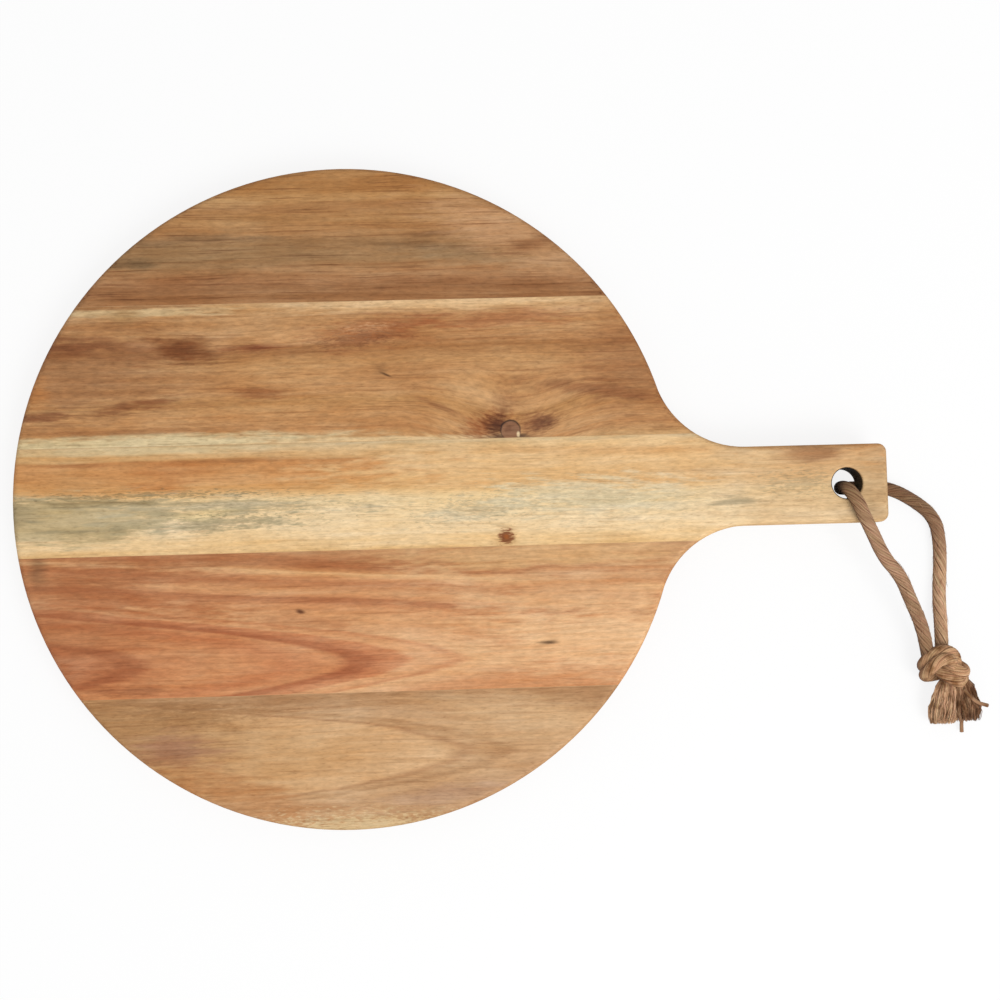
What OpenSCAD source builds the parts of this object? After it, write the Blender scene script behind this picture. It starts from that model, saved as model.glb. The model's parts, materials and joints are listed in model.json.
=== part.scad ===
// Round serving board with a neck handle and a hanging loop of rope, edge-glued from five staves.
// +X runs along the handle, +Z is up, and the board lies on a table at z = 0, its middle over the origin.
// The rope passes under the handle, so the board leans: it rests on its far rim and on the rope.
// Left and right are seen from the handle's end, looking along the handle to the round part.

/* [Board] */
// Diameter of the round part
disc_d = 300; // [260:5:360]
// Thickness of the board
board_t = 15; // [12:0.5:20]
// Radius of the sanded edges
edge_r = 3; // [1:0.5:5]

/* [Handle] */
// Width of the handle
handle_w = 36; // [30:1:44]
// How far the handle's end stands out from the round part
handle_reach = 97; // [80:1:140]
// Radius of the fillets where the handle flows into the round part
neck_r = 42; // [30:1:60]
// How much rounder the handle's corners are in plan than its edges
corner_extra = 1; // [0.5:0.5:6]

/* [Staves] */
// Width of the middle stave, which runs on into the handle
handle_stave_w = 49; // [46:1:80]
// Width of the stave on each side of the middle one
inner_stave_w = 64; // [40:1:80]
// Thickness of a glue line between two staves
glue_t = 0.15; // [0.1:0.05:0.5]

/* [Hole] */
// Diameter of the hole for the rope
hole_d = 14; // [13:0.5:18]
// Distance from the hole's centre to the handle's end
hole_inset = 19; // [16:1:26]
// Radius of the hole's eased rims
hole_edge_r = 1; // [0.5:0.5:2]

/* [Rope] */
// Diameter of the rope
rope_d = 6; // [4:0.5:6.5]
// Clear space between the rope and the underside of the handle
rope_gap = 0.3; // [0.1:0.1:1]
// Width of the knot over its larger lobes
knot_d = 18; // [14:1:22]
// Reach of the frayed tassel from the middle of the knot
tassel_l = 27; // [22:1:34]

/* [Hidden] */

// Flat bands that make up a rounded edge
edge_bands = 6;
// How far a cut runs past the face that it opens
overrun = 2;
// Where the neck's wedge starts, on the way from the middle of the round part to the fillets' centres
neck_root_share = 0.5;
// How far the circle of a neck fillet runs into the round part, so that the two cross cleanly
neck_bite = 0.08;
// Parts of a millimetre that the neck's place is rounded to
neck_steps = 100;
// Facets of a full turn
$fn = 120;

// Plan of the board, seen from the centre of the round part
disc_r = disc_d / 2;
handle_half = handle_w / 2;
handle_end = disc_r + handle_reach;
corner_r = edge_r + corner_extra;
hole_x = handle_end - hole_inset;

// Centre of the left and right fillets: each is tangent to the handle's edge and runs a hair into the
// round part
neck_y = handle_half + neck_r;
neck_x = floor(sqrt((disc_r + neck_r - neck_bite) ^ 2 - neck_y ^ 2) * neck_steps) / neck_steps;

// Middles of the glue lines, counted from the handle's centre line
inner_joint = handle_stave_w / 2;
rim_joint = inner_joint + inner_stave_w;

// The lean that the rope gives the board, and where the leaning board stands
lean = asin((rope_d + rope_gap) / (hole_x + disc_r - edge_r));
lean_lift = (disc_r - edge_r) * sin(lean) + edge_r * (1 - cos(lean));
far_reach = disc_r * cos(lean) + (board_t - edge_r) * sin(lean);
near_reach = handle_end * cos(lean) - edge_r * sin(lean);
disc_x = (far_reach - near_reach) / 2;

// Where the hole's axis crosses the middle of the leaning board, along X
rope_x = disc_x + hole_x * cos(lean) - board_t / 2 * sin(lean);

// A rounded rim from the underside to the top: how far it draws in, and the height there
edge_turns = [for (band = [0 : edge_bands]) 90 * band / edge_bands];
lower_edge = [for (turn = edge_turns) [edge_r * (1 - sin(turn)), edge_r * (1 - cos(turn))]];
upper_edge = [for (band = [edge_bands : -1 : 0]) [lower_edge[band].x, board_t - lower_edge[band].y]];
rim = concat(lower_edge, upper_edge);

// The hole's eased rims, written the same way
lower_ease = [for (turn = edge_turns) hole_edge_r * [1 - sin(turn), 1 - cos(turn)]];
upper_ease = [for (band = [edge_bands : -1 : 0]) [lower_ease[band].x, board_t - lower_ease[band].y]];
hole_rim = concat(lower_ease, upper_ease);

// Route of the rope's middle, from the foot of the hole's axis on the table: out of the knot, up over
// the handle, down through the hole, under the handle's end and round to the knot again
route = [[37.5, -81, 10.5], [36.2, -75.5, 12], [34.9, -70.5, 13.4], [32.8, -64.5, 15.2], [29.9, -58.2, 17],
         [26.9, -52, 18.7], [24.1, -46, 20.2], [20.6, -40.6, 21.5], [16.6, -36, 22.6], [13.2, -30.6, 23.5],
         [10.5, -24.9, 24.2], [8, -19.4, 24.5], [5.5, -14, 24.8], [3.9, -10.4, 25.4], [2.3, -7, 24.7],
         [0.9, -4.1, 22.6], [0, -2.4, 19.4], [-0.5, -1.7, 15.8], [-0.6, -1.6, 12.4], [0, -1.6, 9],
         [2, -1.6, 5.9], [5.1, -1.5, 3.8], [8.9, -1.4, 3], [13.6, -1.2, 3], [18.8, -1.3, 3], [24, -2.4, 3],
         [29, -4.3, 3], [34.1, -7.2, 3], [39, -10.6, 3], [43.2, -14.6, 3], [46.1, -20, 3], [47.2, -27.4, 3],
         [47.3, -35.5, 3], [46.8, -43.5, 3], [46.2, -51.5, 3.3], [45.8, -59, 4.4], [45.5, -66.5, 5.8],
         [45, -74, 7.4], [44.5, -81, 8.5]];

// Steps of the tube between two points of the route, its sides, and a level line that it never follows
route_steps = 2;
rope_sides = 12;
rope_guide = [cos(30), sin(30), 0];

// Heart and lobes of the knot: place from the middle of the rope's two ends, and radius
knot_heart_share = [0.31, -0.42, -0.11, 0.39];
knot_lobe_shares = [[0.09, -0.03, 0.01, 0.44], [-0.25, -0.29, -0.14, 0.33], [0.67, -0.33, -0.14, 0.29]];
knot_middle = (route[0] + route[len(route) - 1]) / 2;

// The tassel's neck and the two corners of its fan of yarn, written the same way
tassel_shares = [[0.25, -0.44, -0.07, 0.2], [0.08, -0.96, -0.14, 0.19], [0.52, -0.98, -0.14, 0.19]];
ball_facets = 24;

// A point between two points of a route, on a smooth curve through them all
function smooth(points, i, t) =
  let (before = points[max(i - 1, 0)],
       here = points[i],
       next = points[i + 1],
       after = points[min(i + 2, len(points) - 1)])
  here + t / 2 * (next - before + t * (2 * before - 5 * here + 4 * next - after
    + t * (3 * (here - next) + after - before)));

function unit(v) = v / norm(v);

// The rope's middle line, never so low that the rope would sink into the table
rope_line = [for (i = [0 : len(route) - 2], step = [0 : route_steps - 1]) smooth(route, i, step / route_steps)];
rope_middles = [for (p = concat(rope_line, [route[len(route) - 1]])) [p.x, p.y, max(p.z, rope_d / 2)]];

// One ring of points round the rope's middle line, square to it
function rope_ring(i) =
  let (last = len(rope_middles) - 1,
       heading = unit(rope_middles[min(i + 1, last)] - rope_middles[max(i - 1, 0)]),
       across = unit(cross(heading, rope_guide)),
       up = cross(across, heading))
  [for (side = [0 : rope_sides - 1])
    rope_middles[i] + rope_d / 2 * (cos(360 * side / rope_sides) * across + sin(360 * side / rope_sides) * up)];

// Lays the board down: its far rim on the table and its handle on the rope
module laid_down() {
  translate([disc_x, 0, lean_lift])
    rotate([0, -lean, 0])
      children();
}

// A rounded rim swept round an axis, from that axis out to the given radius
module round_rim(radius, angle) {
  rotate_extrude(angle = angle)
    polygon(concat([[0, 0]], [for (p = rim) [radius - p.x, p.y]], [[0, board_t]]));
}

// The hollow that rounds one side of the neck, with its rim flared like the board's edge
module neck_hollow() {
  flare = neck_r + edge_r;
  rotate_extrude()
    polygon(concat([[0, -overrun], [flare, -overrun]],
                   [for (p = rim) [neck_r + p.x, p.y]],
                   [[flare, board_t + overrun], [0, board_t + overrun]]));
}

// The neck: a wedge from inside the round part to the start of the handle's straight edges
module neck() {
  difference() {
    linear_extrude(board_t)
      polygon([neck_root_share * [neck_x, -neck_y], [neck_x, -neck_y],
               [neck_x, neck_y], neck_root_share * [neck_x, neck_y]]);
    for (side = [-1, 1])
      translate([neck_x, side * neck_y, 0])
        neck_hollow();
  }
}

// The straight length of the handle
module grip() {
  right_edge = [for (p = rim) [handle_half - p.x, p.y]];
  left_edge = [for (i = [len(rim) - 1 : -1 : 0]) [rim[i].x - handle_half, rim[i].y]];
  translate([neck_x, 0, 0])
    rotate([90, 0, 90])
      linear_extrude(handle_end - corner_r - neck_x)
        polygon(concat(right_edge, left_edge));
}

// The handle's end, between and round its two corners
module grip_end() {
  corner_y = handle_half - corner_r;
  translate([handle_end - corner_r, corner_y, 0]) {
    round_rim(corner_r, 90);
    rotate([90, 0, 0])
      linear_extrude(2 * corner_y)
        polygon(concat([[0, 0]], [for (p = rim) [corner_r - p.x, p.y]], [[0, board_t]]));
  }
  translate([handle_end - corner_r, -corner_y, 0])
    rotate([0, 0, -90])
      round_rim(corner_r, 90);
}

// The whole board as it is cut out of the glued panel
module blank() {
  round_rim(disc_r, 360);
  neck();
  grip();
  grip_end();
}

// A strip of the board between two lines along the handle
module strip(low_y, high_y) {
  intersection() {
    blank();
    translate([-disc_r - overrun, low_y, -overrun])
      cube([disc_r + handle_end + 2 * overrun, high_y - low_y, board_t + 2 * overrun]);
  }
}

// The hole through the handle
module hole() {
  mouth = hole_d / 2 + hole_edge_r;
  translate([hole_x, 0, 0])
    rotate_extrude()
      polygon(concat([[0, -overrun], [mouth, -overrun]],
                     [for (p = hole_rim) [hole_d / 2 + p.x, p.y]],
                     [[mouth, board_t + overrun], [0, board_t + overrun]]));
}

// A glue line with its middle at the given distance from the handle's centre line
module glue_line(middle) {
  color("#6B4526")
    laid_down()
      strip(middle - glue_t / 2, middle + glue_t / 2);
}

module left_rim_stave() {
  color("#C08D55")
    laid_down()
      strip(-disc_r - overrun, -rim_joint - glue_t / 2);
}

module left_inner_stave() {
  color("#C98B58")
    laid_down()
      strip(-rim_joint + glue_t / 2, -inner_joint - glue_t / 2);
}

module handle_stave() {
  color("#D9AE72")
    laid_down()
      difference() {
        strip(-inner_joint + glue_t / 2, inner_joint - glue_t / 2);
        hole();
      }
}

module right_inner_stave() {
  color("#B9824B")
    laid_down()
      strip(inner_joint + glue_t / 2, rim_joint - glue_t / 2);
}

module right_rim_stave() {
  color("#B58049")
    laid_down()
      strip(rim_joint + glue_t / 2, disc_r + overrun);
}

module left_rim_glue_line() {
  glue_line(-rim_joint);
}

module left_inner_glue_line() {
  glue_line(-inner_joint);
}

module right_inner_glue_line() {
  glue_line(inner_joint);
}

module right_rim_glue_line() {
  glue_line(rim_joint);
}

// The rope from knot to knot, as one tube
module rope_loop() {
  last = len(rope_middles) - 1;
  ring_points = [for (i = [0 : last]) each rope_ring(i)];
  sides = [for (i = [0 : last - 1], side = [0 : rope_sides - 1])
    let (here = i * rope_sides + side,
         beside = i * rope_sides + (side + 1) % rope_sides)
    each [[here, beside, beside + rope_sides], [here, beside + rope_sides, here + rope_sides]]];
  first_cap = [for (side = [1 : rope_sides - 2]) [0, side + 1, side]];
  end = last * rope_sides;
  last_cap = [for (side = [1 : rope_sides - 2]) [end, end + side, end + side + 1]];
  color("#A98257")
    translate([rope_x, 0, 0])
      polyhedron(ring_points, concat(first_cap, sides, last_cap));
}

// A ball of the knot or the tassel, with its place and radius as shares of the given size
module yarn_ball(size, share) {
  translate(knot_middle + size * [share.x, share.y, share.z])
    sphere(size * share[3], $fn = ball_facets);
}

// The stopper knot tied in both ends of the rope together: its lobes, drawn in to its heart
module rope_knot() {
  color("#9F774C")
    translate([rope_x, 0, 0])
      for (lobe = knot_lobe_shares)
        hull() {
          yarn_ball(knot_d, knot_heart_share);
          yarn_ball(knot_d, lobe);
        }
}

// The frayed ends of the rope below the knot, fanned out from its neck
module rope_tassel() {
  color("#A47C50")
    translate([rope_x, 0, 0])
      hull()
        for (share = tassel_shares)
          yarn_ball(tassel_l, share);
}

left_rim_stave();
left_inner_stave();
handle_stave();
right_inner_stave();
right_rim_stave();
left_rim_glue_line();
left_inner_glue_line();
right_inner_glue_line();
right_rim_glue_line();
rope_loop();
rope_knot();
rope_tassel();
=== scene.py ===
import json
import math
import random
from types import SimpleNamespace

import bpy
from mathutils import Matrix, Vector


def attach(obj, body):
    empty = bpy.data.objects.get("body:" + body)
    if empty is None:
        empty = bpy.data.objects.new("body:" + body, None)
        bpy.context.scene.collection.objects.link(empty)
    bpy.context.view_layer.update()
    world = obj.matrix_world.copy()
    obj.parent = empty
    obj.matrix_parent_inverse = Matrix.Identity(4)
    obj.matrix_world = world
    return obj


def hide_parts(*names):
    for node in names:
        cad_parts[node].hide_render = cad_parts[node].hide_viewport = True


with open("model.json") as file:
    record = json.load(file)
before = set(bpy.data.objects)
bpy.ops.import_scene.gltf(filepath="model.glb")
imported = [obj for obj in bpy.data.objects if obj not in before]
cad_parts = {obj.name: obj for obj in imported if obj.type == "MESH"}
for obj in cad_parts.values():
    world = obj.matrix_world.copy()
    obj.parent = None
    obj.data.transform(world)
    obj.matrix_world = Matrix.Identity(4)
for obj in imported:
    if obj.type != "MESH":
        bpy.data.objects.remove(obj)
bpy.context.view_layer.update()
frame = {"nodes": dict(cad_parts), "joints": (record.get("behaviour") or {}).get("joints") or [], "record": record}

# Camera: it hangs about 0.7 m over the board and looks almost straight down, a little from the left of
# the board's middle. The board's length runs along the picture with a slight turn.
camera_place = Vector((-0.0094, -0.0337, 0.6963))
camera_target = Vector((0.0208, -0.0036, 0.018))
camera_up = Vector((0.0273, 0.9996, 0))
camera_lens_mm = 54
camera_sensor_mm = 36

bpy.ops.object.select_all(action="DESELECT")
bpy.ops.object.camera_add(location=camera_place)
camera = bpy.context.object
camera_back = (camera_place - camera_target).normalized()
camera_right = camera_up.cross(camera_back).normalized()
camera_axes = Matrix((camera_right, camera_back.cross(camera_right), camera_back))
camera.rotation_euler = camera_axes.transposed().to_euler()
camera.data.lens = camera_lens_mm
camera.data.sensor_width = camera_sensor_mm
bpy.context.scene.camera = camera


# Staves: five strips of oiled acacia, planed square and glued edge to edge, then sawn to one outline,
# rounded over and sanded. Every stave came from another part of a tree, so each has its own figure.
def linear(tint):
    """An sRGB hex colour as linear RGBA."""
    shares = [int(tint[i:i + 2], 16) / 255 for i in (1, 3, 5)]
    return [s / 12.92 if s <= 0.04045 else ((s + 0.055) / 1.055) ** 2.4 for s in shares] + [1]


def add(tree, kind, links=None, give=None, stops=(), **fields):
    """Adds a node with its own fields, links or sets its inputs, and returns one of its outputs."""
    node = tree.nodes.new(kind)
    for field, value in fields.items():
        setattr(node, field, value)
    for key, source in (links or {}).items():
        socket = node.inputs[key]
        if isinstance(key, str):
            socket = next(s for s in node.inputs if s.enabled and s.name == key)
        if isinstance(source, bpy.types.NodeSocket):
            tree.links.new(source, socket)
        else:
            socket.default_value = linear(source) if isinstance(source, str) else source
    for i, (share, tint) in enumerate(stops):
        if i >= len(node.color_ramp.elements):
            node.color_ramp.elements.new(share)
        node.color_ramp.elements[i].position = share
        node.color_ramp.elements[i].color = linear(tint)
    return next((s for s in node.outputs if s.enabled and s.name == (give or s.name)), None)


swing = frame["joints"][0]
base_face = next(m for m in frame["record"]["mounts"] if m["name"] == "base_face")
board_up = Vector(swing["axis"])
board_lean = math.asin(-board_up.x)
board_foot = Vector(base_face["pos_m"]).dot(board_up)
board_t_mm = 15
mm_per_m = 1000


def marks(wood, source, along, across, detail):
    """A pattern of marks that are so many millimetres long with the grain and so many across it."""
    wood.seed += 1
    stretched = add(wood.tree, "ShaderNodeMapping", {
        "Vector": source,
        "Scale": (1 / along, 1 / across, 1 / across)})
    return add(wood.tree, "ShaderNodeTexNoise", {
        "Vector": stretched, "W": wood.seed, "Scale": 1, "Detail": detail, "Roughness": 0.6},
        noise_dimensions="4D")


def sway(wood, source, pattern, reach):
    """A number shifted to and fro by a pattern of the wood, by up to about the given reach."""
    centred = add(wood.tree, "ShaderNodeMath", {0: pattern, 1: 0.5}, operation="SUBTRACT")
    return add(wood.tree, "ShaderNodeMath", {0: centred, 1: 4 * reach, 2: source}, operation="MULTIPLY_ADD")


def spot(wood, middle, reach, turn=0, ragged=0.8, heart=0.15, depth=12, edge="rag"):
    """A soft patch in the wood under its top face, 1 at its heart and 0 past its ragged edge."""
    seen = add(wood.tree, "ShaderNodeMapping", {
        "Vector": wood.place,
        "Location": (*middle, board_t_mm),
        "Rotation": (0, 0, math.radians(turn)),
        "Scale": (*reach, depth)}, vector_type="TEXTURE")
    away = add(wood.tree, "ShaderNodeVectorMath", {"Vector": seen}, give="Value", operation="LENGTH")
    if ragged:
        away = sway(wood, away, getattr(wood, edge), ragged / 2)
    return add(wood.tree, "ShaderNodeMapRange", {
        "Value": away, "From Min": 1, "From Max": heart}, interpolation_type="SMOOTHSTEP")


def stain_or_painted_shade(wood, colour, tint, strength, *place, **edge):
    """The colour with one soft patch of another tint in it."""
    patch = spot(wood, *place, **edge)
    mask = add(wood.tree, "ShaderNodeMath", {0: patch, 1: strength}, operation="MULTIPLY")
    return add(wood.tree, "ShaderNodeMix", {"Factor": mask, "A": colour, "B": tint}, data_type="RGBA")


def bands(wood, source, tints):
    """Bands of colour: tints are pairs of a place in millimetres, counted like the source, and a colour."""
    low, high = tints[0][0], tints[-1][0]
    share = add(wood.tree, "ShaderNodeMapRange", {"Value": source, "From Min": low, "From Max": high})
    return add(wood.tree, "ShaderNodeValToRGB", {"Fac": share},
               stops=[((place - low) / (high - low), tint) for place, tint in tints])


def arches(wood, middle_y, heart_z, taper):
    """Yearly rings round a heart that runs along the stave: their size grows along the grain by the taper."""
    arm = add(wood.tree, "ShaderNodeMath", {0: wood.y, 1: -middle_y}, operation="ADD")
    rise = add(wood.tree, "ShaderNodeMath", {0: heart_z, 1: wood.z}, operation="SUBTRACT")
    arm = add(wood.tree, "ShaderNodeMath", {0: arm, 1: arm}, operation="MULTIPLY")
    ring = add(wood.tree, "ShaderNodeMath", {0: rise, 1: rise, 2: arm}, operation="MULTIPLY_ADD")
    ring = add(wood.tree, "ShaderNodeMath", {0: ring}, operation="SQRT")
    return add(wood.tree, "ShaderNodeMath", {0: wood.x, 1: taper, 2: ring}, operation="MULTIPLY_ADD")


def start_wood(name, seed, knot=None):
    """Acacia as the saw leaves it: x runs along the grain, y across the board and z up, in millimetres.

    The grain wanders by about 2 mm and ripples by 0.2 mm, and it dips by 11 mm at a knot. Bundles of fibres
    are 1.1 mm wide, pores 0.5 mm, rows of vessels 1 mm and streaks 3 mm, and all of them follow the grain.
    """
    material = bpy.data.materials.new(name)
    material.use_nodes = True
    tree = material.node_tree
    tree.nodes.clear()
    wood = SimpleNamespace(material=material, tree=tree, seed=seed)
    at_rest = add(tree, "ShaderNodeTexCoord", give="Object")
    wood.place = add(tree, "ShaderNodeMapping", {
        "Vector": at_rest,
        "Location": (0, 0, -board_foot * mm_per_m),
        "Rotation": (0, board_lean, 0),
        "Scale": (mm_per_m, mm_per_m, mm_per_m)})
    wood.x = add(tree, "ShaderNodeSeparateXYZ", {"Vector": wood.place})
    wood.z = wood.x.node.outputs["Z"]
    wander = marks(wood, wood.place, 130, 30, 1)
    ripple = marks(wood, wood.place, 30, 8, 1)
    wood.y = sway(wood, sway(wood, wood.x.node.outputs["Y"], wander, 1.8), ripple, 0.2)
    if knot:
        dip = spot(wood, knot, (52, 34), ragged=0, heart=0, depth=30)
        wood.y = add(tree, "ShaderNodeMath", {0: dip, 1: 11, 2: wood.y}, operation="MULTIPLY_ADD")
    grain = add(tree, "ShaderNodeCombineXYZ", {"X": wood.x, "Y": wood.y, "Z": wood.z})
    wood.fibre = marks(wood, grain, 4.5, 1.1, 3)
    wood.pore = marks(wood, grain, 2.6, 0.5, 0)
    wood.speck = marks(wood, grain, 3, 0.8, 2)
    wood.rag = marks(wood, grain, 15, 2.2, 4)
    wood.streak = marks(wood, grain, 75, 3, 4)
    wood.cloud = marks(wood, grain, 38, 13, 2)
    wood.vessel = marks(wood, grain, 45, 1, 2)
    return wood


def finish_wood(wood, colour, node, fibre=1, pores=0.3, vessels=0.3):
    """One stave's streaks, fibres, pores, rows of vessels and oil that has soaked in, and its rough rim, which is
    painted a little darker where it turns sideways: painted shade on the rounding together with darker end grain.
    """
    tree = wood.tree
    depth = sway(wood, sway(wood, 1, wood.streak, -0.15), wood.cloud, -0.14)
    colour = add(tree, "ShaderNodeGamma", {"Color": colour, "Gamma": depth})
    brightness = sway(wood, 1.04, wood.fibre, 0.26 * fibre)
    colour = add(tree, "ShaderNodeVectorMath", {"Vector": colour, "Scale": brightness}, operation="SCALE")
    open_pore = add(tree, "ShaderNodeMapRange", {
        "Value": wood.pore, "From Min": 0.62, "From Max": 0.8, "To Max": pores})
    colour = add(tree, "ShaderNodeMix", {"Factor": open_pore, "A": colour, "B": "#A8835C"},
                 data_type="RGBA", blend_type="MULTIPLY")
    row = add(tree, "ShaderNodeMapRange", {
        "Value": wood.vessel, "From Min": 0.54, "From Max": 0.7, "To Max": vessels})
    colour = add(tree, "ShaderNodeMix", {"Factor": row, "A": colour, "B": "#A07A58"},
                 data_type="RGBA", blend_type="MULTIPLY")
    facing = add(tree, "ShaderNodeTexCoord", give="Normal")
    upright = add(tree, "ShaderNodeSeparateXYZ", {"Vector": facing}).node.outputs["Z"]
    upright = add(tree, "ShaderNodeMath", {0: upright}, operation="ABSOLUTE")
    # Painted shade: the rounded rim is painted darker the more it faces sideways, for the shade on its rounding as
    # well as its darker end grain
    rim = add(tree, "ShaderNodeMapRange", {
        "Value": upright, "From Min": 0.92, "From Max": 0.4})
    colour = add(tree, "ShaderNodeMix", {"Factor": rim, "A": colour, "B": "#ECE4DA"},
                 data_type="RGBA", blend_type="MULTIPLY")
    roughness = add(tree, "ShaderNodeMapRange", {
        "Value": wood.fibre, "From Min": 0.3, "From Max": 0.7, "To Min": 0.68, "To Max": 0.52})
    roughness = add(tree, "ShaderNodeMix", {"Factor": rim, "A": roughness, "B": 0.95})
    relief = add(tree, "ShaderNodeMath", {0: open_pore, 1: -1, 2: wood.fibre}, operation="MULTIPLY_ADD")
    bump = add(tree, "ShaderNodeBump", {"Height": relief, "Strength": 0.25, "Distance": 0.0001})
    surface = add(tree, "ShaderNodeBsdfPrincipled", {
        "Base Color": colour, "Roughness": roughness, "Specular IOR Level": 0.25, "Normal": bump})
    add(tree, "ShaderNodeOutputMaterial", {"Surface": surface})
    frame["nodes"][node].material_slots[0].material = wood.material


# Handle stave: the middle strip, which runs on into the handle and has the hole for the rope. It is pale
# sapwood with a golden band, and a grey-green stain where the log lay wet before it was sawn.
wood = start_wood("pale_acacia_sapwood", 3)
growth = sway(wood, wood.y, wood.streak, 0.9)
colour = bands(wood, growth, [
    (-24.5, "#DDB47C"), (-20, "#E6C28E"), (-12, "#EACEA2"), (0, "#E6C896"), (3, "#DDB27A"), (5, "#CF9C62"),
    (11, "#C9915A"), (16.5, "#C68D57"), (18, "#BC8450"), (19, "#CA9A63"), (22, "#D2AB78"), (24.5, "#CBB085")])
# Lighter wood towards the handle, with two darker lines in it
colour = stain_or_painted_shade(wood, colour, "#E0B984", 0.85, (60, 12), (150, 16), heart=0.4)
colour = stain_or_painted_shade(wood, colour, "#CC9A62", 0.7, (70, 18), (80, 3), turn=-1)
colour = stain_or_painted_shade(wood, colour, "#CC9C64", 0.45, (90, 8), (60, 2.4), ragged=1)
# Golden band: its darker streaks, and the pale edge along the joint
colour = stain_or_painted_shade(wood, colour, "#BC8650", 0.6, (-172, 9), (26, 11))
colour = stain_or_painted_shade(wood, colour, "#CBB78C", 0.6, (-140, 22.6), (72, 2.6), heart=0.3)
colour = stain_or_painted_shade(wood, colour, "#B67845", 0.6, (-126, 14), (24, 6))
colour = stain_or_painted_shade(wood, colour, "#B87640", 0.6, (-131, 6.5), (20, 5))
colour = stain_or_painted_shade(wood, colour, "#9E6234", 0.6, (-168, 16.4), (26, 1.6))
colour = stain_or_painted_shade(wood, colour, "#A0683A", 0.55, (-100, 17.6), (36, 1.4))
# Grey-green stain: its body, dark lines and specks, and a fainter trail towards the handle
colour = stain_or_painted_shade(wood, colour, "#B9A47A", 0.9, (-182, -8), (74, 14), heart=0.5)
colour = stain_or_painted_shade(wood, colour, "#B0A180", 0.7, (-112, -2.8), (70, 5.6), turn=-1, ragged=2.4, heart=0.2)
colour = stain_or_painted_shade(wood, colour, "#B0A17E", 0.7, (-118, -10.4), (62, 4.8), ragged=2.4, heart=0.2)
colour = stain_or_painted_shade(wood, colour, "#E3CB98", 0.75, (-114, -7), (20, 3.4), turn=8, ragged=1)
colour = stain_or_painted_shade(wood, colour, "#857858", 0.6, (-166, -13), (36, 1.4))
colour = stain_or_painted_shade(wood, colour, "#826C42", 0.65, (-165, -0.5), (44, 2.2), ragged=1.2)
colour = stain_or_painted_shade(wood, colour, "#7A6A48", 0.55, (-140, 2.6), (58, 1.9), ragged=2.6, edge="speck")
colour = stain_or_painted_shade(wood, colour, "#6E6650", 0.45, (-199, -4), (18, 10), ragged=0.8, heart=0)
colour = stain_or_painted_shade(wood, colour, "#7E7558", 0.3, (-88, -3.4), (38, 5), edge="speck", ragged=2.8)
colour = stain_or_painted_shade(wood, colour, "#8A8062", 0.35, (-102, -10.6), (38, 3.4), edge="speck", ragged=2.8)
colour = stain_or_painted_shade(wood, colour, "#968C6E", 0.12, (-32, -3.6), (16, 4), edge="speck", ragged=3)
colour = stain_or_painted_shade(wood, colour, "#D2C29E", 0.45, (12, -8), (30, 6.4), turn=7, ragged=2.8)
colour = stain_or_painted_shade(wood, colour, "#A0957A", 0.35, (10, -7.5), (26, 6), turn=7, edge="speck", ragged=3)
colour = stain_or_painted_shade(wood, colour, "#DACAA6", 0.75, (66, -3), (70, 11), ragged=1.6)
colour = stain_or_painted_shade(wood, colour, "#A0957A", 0.22, (70, -5), (52, 10), edge="speck", ragged=3)
# Handle: duller towards its end, with a brown smudge and grey streaks
colour = stain_or_painted_shade(wood, colour, "#D0AD80", 0.6, (165, 0), (70, 36), heart=0.4)
colour = stain_or_painted_shade(wood, colour, "#B39068", 0.6, (199, 0), (22, 30))
colour = stain_or_painted_shade(wood, colour, "#A07048", 0.85, (164, 14.5), (22, 7.5))
colour = stain_or_painted_shade(wood, colour, "#867C60", 0.6, (128, -7), (18, 3), ragged=1.4)
colour = stain_or_painted_shade(wood, colour, "#908569", 0.35, (158, 1), (20, 6), edge="speck", ragged=2.6)
# Pin knot
colour = stain_or_painted_shade(wood, colour, "#B98A52", 0.5, (23.5, -20.5), (7.5, 6.5), ragged=1)
colour = stain_or_painted_shade(wood, colour, "#743408", 0.9, (23.5, -20.5), (4.4, 4.8), edge="speck", ragged=1, heart=0.4)
colour = stain_or_painted_shade(wood, colour, "#A35C22", 0.6, (23.6, -20.3), (1.7, 1.5), edge="speck")
# Wall of the hole, painted nearly black as painted shade inside the hole
colour = stain_or_painted_shade(wood, colour, "#0E0906", 1, (179.5, 0), (7.5, 7.5), ragged=0, heart=0.94, depth=600)
finish_wood(wood, colour, "handle_stave", fibre=0.8)

# Right inner stave: brown heartwood with pale sapwood along both edges, cut close by a branch. Its small
# round knot sits at the joint, and the grain dips towards it.
knot = (26.7, 28.2)
wood = start_wood("brown_acacia_with_a_knot", 17, knot)
growth = sway(wood, wood.y, wood.streak, 1.2)
colour = bands(wood, growth, [
    (24.5, "#C49A68"), (31, "#B5804F"), (33, "#BC8A59"), (37, "#C08E5C"), (44, "#B5834F"), (48, "#BC8A59"),
    (56, "#B68454"), (60, "#BA8957"), (66, "#A87647"), (70, "#B07D4E"), (75, "#BA8857"), (80, "#B78656"),
    (85, "#BE9060"), (88.5, "#C39868")])
# Darker ends and a lighter middle
colour = stain_or_painted_shade(wood, colour, "#9A6A42", 0.85, (-176, 60), (100, 36))
colour = stain_or_painted_shade(wood, colour, "#CB9B66", 0.45, (16, 49), (40, 15), turn=10)
colour = stain_or_painted_shade(wood, colour, "#C89762", 0.35, (-74, 56), (50, 10))
colour = stain_or_painted_shade(wood, colour, "#98663E", 0.75, (84, 56), (42, 36))
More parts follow.
